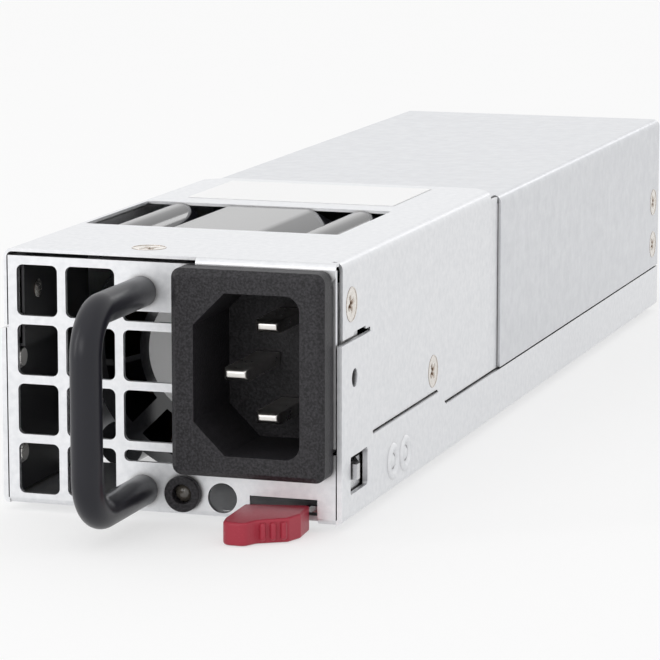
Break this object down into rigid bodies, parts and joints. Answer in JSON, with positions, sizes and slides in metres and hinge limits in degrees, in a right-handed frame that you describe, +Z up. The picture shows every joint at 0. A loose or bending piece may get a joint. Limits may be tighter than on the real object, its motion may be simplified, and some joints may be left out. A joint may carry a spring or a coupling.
{
  "type": "hot swap server power supply",
  "caption": "Slim sheet-metal power supply that slides into a server bay, with pull handle, mains inlet, fan, sprung red latch and rear card edge.",
  "frame": {"origin": "centre of the underside of the case, on its outer face", "axes": "+X to the right seen from the handle side, +Y from the front panel to the rear card edge, +Z up"},
  "size_m": [0.056, 0.2512, 0.0412],
  "materials": {
    "galvanised_steel": "brushed galvanised",
    "screw_steel": "zinc plated",
    "spring_steel": "satin",
    "black_handle": "satin black",
    "black_moulding": "fine grained",
    "black_gloss": "glossy",
    "red_thumb": "satin",
    "contact_metal": "nickel",
    "gold": "gold plated",
    "white_label": "paper",
    "sticker": "foil",
    "lamp": "clear",
    "board_green": "lacquered",
    "copper": "enamelled wire",
    "ferrite": "matte",
    "yellow_film": "moulded",
    "blue_ceramic": "lacquered",
    "sleeve_black": "sleeved",
    "aluminium": "satin",
    "ceramic_white": "ceramic"
  },
  "bodies": {
    "case": {"blank_label": "white_label", "board_insulator": "black_moulding", "board_screws": "screw_steel", "board_spacers": "contact_metal", "boost_choke_core": "ferrite", "boost_choke_winding": "copper", "bridge_rectifier": "black_moulding", "bulk_capacitor": "sleeve_black", "chassis_tray": "galvanised_steel", "control_board": "board_green", "cover_screws": "screw_steel", "edge_contacts": "gold", "fan_bearings": "spring_steel", "fan_frame": "black_gloss", "fan_screws": "screw_steel", "fan_stator": "copper", "fan_sticker": "sticker", "filter_choke_cores": "ferrite", "filter_choke_windings": "copper", "front_cover": "galvanised_steel", "fuse": "ceramic_white", "handle_screws": "screw_steel", "inlet_earth_pin": "contact_metal", "inlet_housing": "black_moulding", "inlet_line_pin": "contact_metal", "inlet_neutral_pin": "contact_metal", "latch_rivets": "galvanised_steel", "latch_spring_root": "spring_steel", "led_holder": "black_moulding", "liner_rivets": "contact_metal", "main_board": "board_green", "output_capacitors": "sleeve_black", "output_choke": "copper", "primary_heatsink": "aluminium", "primary_transistors": "black_moulding", "pull_handle": "black_handle", "rear_cover": "galvanised_steel", "relay": "black_moulding", "secondary_heatsink": "aluminium", "secondary_transistors": "black_moulding", "side_liner": "black_moulding", "standby_transformer": "ferrite", "status_led": "lamp", "transformer_core": "ferrite", "transformer_winding": "yellow_film", "varistor": "blue_ceramic", "x_capacitors": "yellow_film", "y_capacitors": "blue_ceramic"},
    "latch": {"latch_spring_arm": "spring_steel", "latch_tab": "red_thumb"},
    "fan_rotor": {"fan_rotor": "black_gloss", "fan_magnet": "ferrite", "fan_shaft": "spring_steel"}
  },
  "joints": [
    {"name": "latch_press", "type": "hinge", "parent": "case", "child": "latch", "pos_m": [0.02625, -0.0853, 0.005], "axis": [0, 0, -1], "range_deg": [0, 4], "stiffness_Nm_per_rad": 0.5},
    {"name": "fan_spin", "type": "hinge", "parent": "case", "child": "fan_rotor", "pos_m": [-0.0034, -0.07, 0.02], "axis": [0, 1, 0], "continuous": true}
  ]
}
